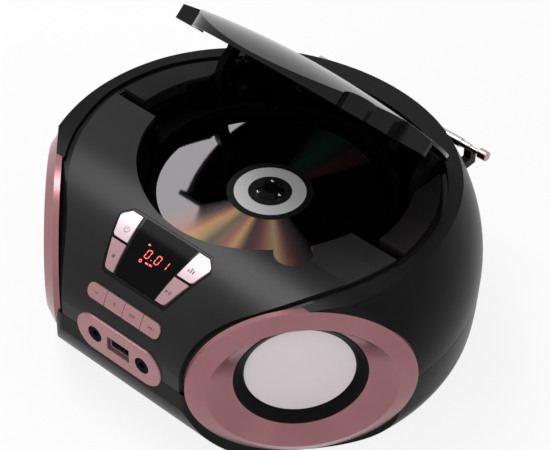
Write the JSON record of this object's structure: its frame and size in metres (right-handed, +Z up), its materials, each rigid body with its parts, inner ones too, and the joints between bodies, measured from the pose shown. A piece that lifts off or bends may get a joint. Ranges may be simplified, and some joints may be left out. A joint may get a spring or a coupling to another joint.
{
  "type": "cd boombox",
  "caption": "Portable disc player and radio with a round case, a top-opening lid on geared arms, angled speakers, a lit display, keys, front sockets and a folding rod aerial.",
  "frame": {"origin": "centre of the overall box in plan, at the bottom of the rubber feet, with the lid open and the aerial folded", "axes": "+X to the right seen from the front, +Y to the back, +Z up"},
  "size_m": [0.2516, 0.231, 0.1853],
  "materials": {
    "shell_black": "satin",
    "deck_grey": "satin",
    "gloss_black": "polished",
    "rose_metallic": "metallic satin",
    "rubber_black": "matt",
    "cone_pale": "matt",
    "steel": "brushed",
    "chrome": "polished",
    "disc_mirror": "mirror",
    "board_green": "satin",
    "magnet_grey": "matt",
    "cell_metal": "satin",
    "brass": "satin",
    "white_plastic": "satin",
    "inner_black": "matt"
  },
  "bodies": {
    "case": {"lower_shell": "shell_black", "upper_shell": "shell_black", "groove_trim": "gloss_black", "deck": "deck_grey", "lid_ledge": "deck_grey", "disc_well": "inner_black", "spindle_motor": "steel", "sled_rods": "steel", "hinge_pins": "steel", "damper_body": "inner_black", "cluster_bezel": "gloss_black", "display_window": "gloss_black", "display_module": "board_green", "control_board": "board_green", "key_row_board": "board_green", "jack_panel": "rose_metallic", "aux_jack": "inner_black", "headphone_jack": "inner_black", "usb_socket": "steel", "socket_board": "board_green", "main_board": "board_green", "transformer": "cell_metal", "ac_inlet": "inner_black", "battery_cells": "cell_metal", "battery_contacts": "brass", "rubber_feet": "rubber_black", "case_screws": "steel", "aerial_bracket": "shell_black", "aerial_clip": "shell_black", "speaker_ring_right": "rose_metallic", "speaker_ring_left": "rose_metallic", "speaker_cone_right": "cone_pale", "speaker_cone_left": "cone_pale", "speaker_surrounds": "rubber_black", "speaker_frames": "inner_black", "speaker_magnets": "magnet_grey"},
    "lid": {"lid": "shell_black", "lid_liner": "inner_black", "hinge_arm_left": "inner_black", "hinge_arm_right": "inner_black"},
    "damper": {"damper_gear": "white_plastic"},
    "rotor": {"disc": "disc_mirror", "turntable": "inner_black", "hub_balls": "steel", "motor_shaft": "steel"},
    "sled": {"pickup_sled": "inner_black", "pickup_lens": "white_plastic"},
    "power": {"power_key": "rose_metallic"},
    "mode": {"mode_key": "rose_metallic"},
    "stop": {"stop_key": "rose_metallic"},
    "play": {"play_key": "rose_metallic"},
    "volume_down": {"volume_down_key": "rose_metallic"},
    "volume_up": {"volume_up_key": "rose_metallic"},
    "previous": {"previous_key": "rose_metallic"},
    "next": {"next_key": "rose_metallic"},
    "cover": {"battery_cover": "shell_black"},
    "aerial_base": {"aerial_yoke": "chrome"},
    "aerial_outer": {"aerial_tube_outer": "chrome"},
    "aerial_middle": {"aerial_tube_middle": "chrome"},
    "aerial_inner": {"aerial_tube_inner": "chrome"}
  },
  "joints": [
    {"name": "lid_hinge", "type": "hinge", "parent": "case", "child": "lid", "pos_m": [0, 0.04967, 0.0872], "axis": [1, 0, 0], "range_deg": [0, 50], "stiffness_Nm_per_rad": 0.06, "springref_deg": -45.84},
    {"name": "damper_spin", "type": "hinge", "parent": "case", "child": "damper", "pos_m": [-0.06845, 0.03481, 0.07382], "axis": [1, 0, 0], "range_deg": [-200, 0]},
    {"name": "disc_spin", "type": "hinge", "parent": "case", "child": "rotor", "pos_m": [0, -0.00053, 0.08], "axis": [0, 0, 1], "continuous": true},
    {"name": "pickup_slide", "type": "slide", "parent": "case", "child": "sled", "axis": [0, -1, 0], "range_m": [0, 0.03]},
    {"name": "power_press", "type": "slide", "parent": "case", "child": "power", "axis": [0, 0.5446, -0.8387], "range_m": [0, 0.0012], "stiffness_N_per_m": 300, "springref_m": -0.001},
    {"name": "mode_press", "type": "slide", "parent": "case", "child": "mode", "axis": [0, 0.5446, -0.8387], "range_m": [0, 0.0012], "stiffness_N_per_m": 300, "springref_m": -0.001},
    {"name": "stop_press", "type": "slide", "parent": "case", "child": "stop", "axis": [0, 0.5446, -0.8387], "range_m": [0, 0.0012], "stiffness_N_per_m": 300, "springref_m": -0.001},
    {"name": "play_press", "type": "slide", "parent": "case", "child": "play", "axis": [0, 0.5446, -0.8387], "range_m": [0, 0.0012], "stiffness_N_per_m": 300, "springref_m": -0.001},
    {"name": "volume_down_press", "type": "slide", "parent": "case", "child": "volume_down", "axis": [0, 0.9026, -0.4305], "range_m": [0, 0.0012], "stiffness_N_per_m": 300, "springref_m": -0.001},
    {"name": "volume_up_press", "type": "slide", "parent": "case", "child": "volume_up", "axis": [0, 0.9026, -0.4305], "range_m": [0, 0.0012], "stiffness_N_per_m": 300, "springref_m": -0.001},
    {"name": "previous_press", "type": "slide", "parent": "case", "child": "previous", "axis": [0, 0.9026, -0.4305], "range_m": [0, 0.0012], "stiffness_N_per_m": 300, "springref_m": -0.001},
    {"name": "next_press", "type": "slide", "parent": "case", "child": "next", "axis": [0, 0.9026, -0.4305], "range_m": [0, 0.0012], "stiffness_N_per_m": 300, "springref_m": -0.001},
    {"name": "cover_slide", "type": "slide", "parent": "case", "child": "cover", "axis": [0, 1, 0], "range_m": [0, 0.006]},
    {"name": "aerial_swivel", "type": "hinge", "parent": "case", "child": "aerial_base", "pos_m": [-0.06, 0.11197, 0.072], "axis": [0, -1, 0], "range_deg": [0, 180]},
    {"name": "aerial_elbow", "type": "hinge", "parent": "aerial_base", "child": "aerial_outer", "pos_m": [-0.06, 0.11197, 0.072], "axis": [0, 0, 1], "range_deg": [0, 60]},
    {"name": "aerial_slide_middle", "type": "slide", "parent": "aerial_outer", "child": "aerial_middle", "axis": [1, 0, 0], "range_m": [0, 0.08]},
    {"name": "aerial_slide_inner", "type": "slide", "parent": "aerial_middle", "child": "aerial_inner", "axis": [1, 0, 0], "range_m": [0, 0.08]}
  ],
  "couplings": [
    {"joint": "damper_spin", "follows": "lid_hinge", "ratio": -4}
  ]
}
